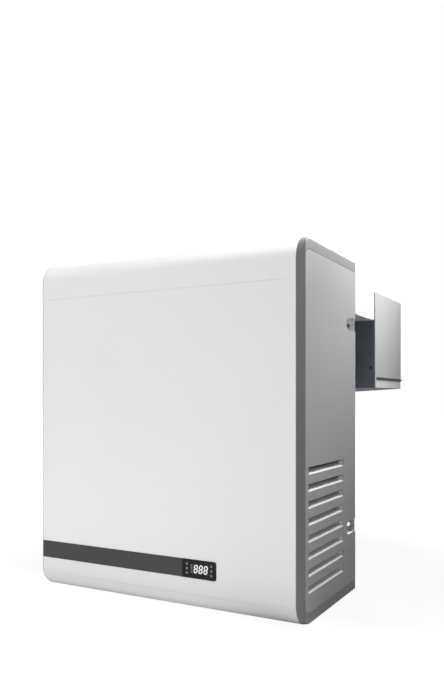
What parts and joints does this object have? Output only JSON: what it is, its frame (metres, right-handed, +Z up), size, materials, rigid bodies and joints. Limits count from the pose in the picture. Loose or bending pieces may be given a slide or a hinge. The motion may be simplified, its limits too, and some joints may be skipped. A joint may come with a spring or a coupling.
{
  "type": "monoblock refrigeration unit",
  "caption": "Over-the-wall refrigeration unit: a condensing body with side louvres and a digital controller, a neck, and a cold section with fans and a hinged drip tray.",
  "frame": {"origin": "centre of the bounding box in X and Y, at the underside of the condensing body", "axes": "+X to the right of someone facing the front cover, +Y from the front cover through the wall to the cold section, +Z up"},
  "size_m": [0.646, 0.754, 0.744],
  "materials": {
    "white_cover": "satin",
    "white_paint": "satin",
    "strip_grey": "satin",
    "rim_grey": "satin",
    "panel_grey": "satin",
    "zinc_sheet": "satin",
    "screw_zinc": "polished",
    "black_plastic": "satin",
    "smoked_window": "gloss",
    "display_white": "gloss",
    "board_green": "satin",
    "button_grey": "matte",
    "black_paint": "satin",
    "core_iron": "matte",
    "mount_rubber": "matte",
    "coil_aluminium": "satin",
    "copper": "satin",
    "relay_cream": "satin",
    "foam": "matte",
    "seal_grey": "matte",
    "plate_dark": "satin",
    "frame_pale": "satin",
    "cold_grey": "satin",
    "lip_grey": "satin",
    "tray_paint": "satin",
    "heater_steel": "satin",
    "wire_steel": "polished"
  },
  "bodies": {
    "casing": {"front_cover": "white_cover", "front_strip": "strip_grey", "top_panel": "white_paint", "rear_panel": "zinc_sheet", "base_pan": "zinc_sheet", "side_rim_right": "rim_grey", "side_rim_left": "rim_grey", "side_panel_right": "panel_grey", "side_panel_left": "panel_grey", "bolt_pockets": "panel_grey", "casing_screws": "screw_zinc", "controller_housing": "black_plastic", "display_window": "smoked_window", "display_digits": "display_white", "controller_board": "board_green", "compressor_shell": "black_paint", "compressor_lid": "black_paint", "compressor_core": "core_iron", "compressor_mounts": "mount_rubber", "compressor_terminals": "black_plastic", "condenser_fins": "coil_aluminium", "condenser_tubes": "copper", "condenser_shroud": "zinc_sheet", "refrigerant_lines": "copper", "condenser_motor": "black_paint", "condenser_bracket": "zinc_sheet", "electrical_box": "zinc_sheet", "electrical_cover": "zinc_sheet", "relay_block": "relay_cream", "filter_drier": "copper", "cable_gland": "black_plastic", "neck_shell": "white_paint", "neck_insulation": "foam", "neck_seal": "seal_grey", "wall_plate": "plate_dark", "cold_frame": "frame_pale", "cold_side_right": "cold_grey", "cold_side_left": "cold_grey", "cold_top": "cold_grey", "cold_rear": "cold_grey", "evaporator_fins": "coil_aluminium", "evaporator_tubes": "copper", "defrost_heater": "heater_steel", "room_sensor": "black_plastic", "evap_motor_right": "black_paint", "evap_motor_left": "black_paint", "fan_guards": "wire_steel", "tray_hinges": "zinc_sheet"},
    "condenser_fan": {"condenser_fan": "black_plastic"},
    "evap_fan_right": {"evap_fan_right": "black_plastic"},
    "evap_fan_left": {"evap_fan_left": "black_plastic"},
    "tray": {"drip_tray": "tray_paint", "tray_rim": "lip_grey", "tray_screws": "black_plastic"},
    "button_left_top": {"button_left_top": "button_grey"},
    "button_left_middle": {"button_left_middle": "button_grey"},
    "button_left_bottom": {"button_left_bottom": "button_grey"},
    "button_right_top": {"button_right_top": "button_grey"},
    "button_right_middle": {"button_right_middle": "button_grey"},
    "button_right_bottom": {"button_right_bottom": "button_grey"}
  },
  "joints": [
    {"name": "condenser_fan_spin", "type": "hinge", "parent": "casing", "child": "condenser_fan", "pos_m": [0.218, -0.22535, 0.1725], "axis": [1, 0, 0], "continuous": true},
    {"name": "evap_fan_right_spin", "type": "hinge", "parent": "casing", "child": "evap_fan_right", "pos_m": [0.15, 0.34, 0.59275], "axis": [0, 1, 0], "continuous": true},
    {"name": "evap_fan_left_spin", "type": "hinge", "parent": "casing", "child": "evap_fan_left", "pos_m": [-0.15, 0.34, 0.59275], "axis": [0, 1, 0], "continuous": true},
    {"name": "tray_hinge", "type": "hinge", "parent": "casing", "child": "tray", "pos_m": [0, 0.1282, 0.462], "axis": [-1, 0, 0], "range_deg": [0, 35]},
    {"name": "button_left_top_press", "type": "slide", "parent": "casing", "child": "button_left_top", "axis": [0, 1, 0], "range_m": [0, 0.0006], "stiffness_N_per_m": 600},
    {"name": "button_left_middle_press", "type": "slide", "parent": "casing", "child": "button_left_middle", "axis": [0, 1, 0], "range_m": [0, 0.0006], "stiffness_N_per_m": 600},
    {"name": "button_left_bottom_press", "type": "slide", "parent": "casing", "child": "button_left_bottom", "axis": [0, 1, 0], "range_m": [0, 0.0006], "stiffness_N_per_m": 600},
    {"name": "button_right_top_press", "type": "slide", "parent": "casing", "child": "button_right_top", "axis": [0, 1, 0], "range_m": [0, 0.0006], "stiffness_N_per_m": 600},
    {"name": "button_right_middle_press", "type": "slide", "parent": "casing", "child": "button_right_middle", "axis": [0, 1, 0], "range_m": [0, 0.0006], "stiffness_N_per_m": 600},
    {"name": "button_right_bottom_press", "type": "slide", "parent": "casing", "child": "button_right_bottom", "axis": [0, 1, 0], "range_m": [0, 0.0006], "stiffness_N_per_m": 600}
  ]
}
